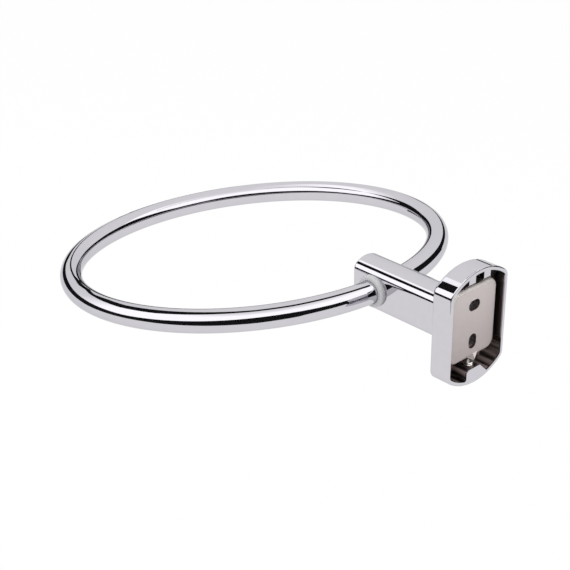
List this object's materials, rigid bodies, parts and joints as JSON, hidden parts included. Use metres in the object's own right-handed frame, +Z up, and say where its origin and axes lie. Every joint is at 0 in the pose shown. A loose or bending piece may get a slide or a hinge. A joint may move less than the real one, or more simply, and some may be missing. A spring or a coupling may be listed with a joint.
{
  "type": "towel ring",
  "caption": "Wall towel ring: hollow rounded cup with a short arm, a round tube ring turning in flanged bushes, and a hidden wall bracket held by a grub screw.",
  "frame": {"origin": "middle of the cup's rim, on the wall plane", "axes": "+Y into the wall, the arm along -Y, +X across, +Z up"},
  "size_m": [0.178, 0.2205, 0.0521],
  "materials": {
    "chromed_casting": "polished chrome on zinc casting",
    "chromed_tube": "polished chrome on tube",
    "bush_plastic": "satin grey",
    "pressed_steel": "matt zinc plated",
    "screw_steel": "bright zinc plated"
  },
  "bodies": {
    "post": {"post": "chromed_casting", "bush_left": "bush_plastic", "bush_right": "bush_plastic", "wall_bracket": "pressed_steel", "grub_screw": "screw_steel"},
    "ring": {"ring": "chromed_tube"}
  },
  "joints": [
    {"name": "ring_hinge", "type": "hinge", "parent": "post", "child": "ring", "pos_m": [0, -0.04975, 0], "axis": [1, 0, 0], "range_deg": [-7.6, 82.4]}
  ]
}
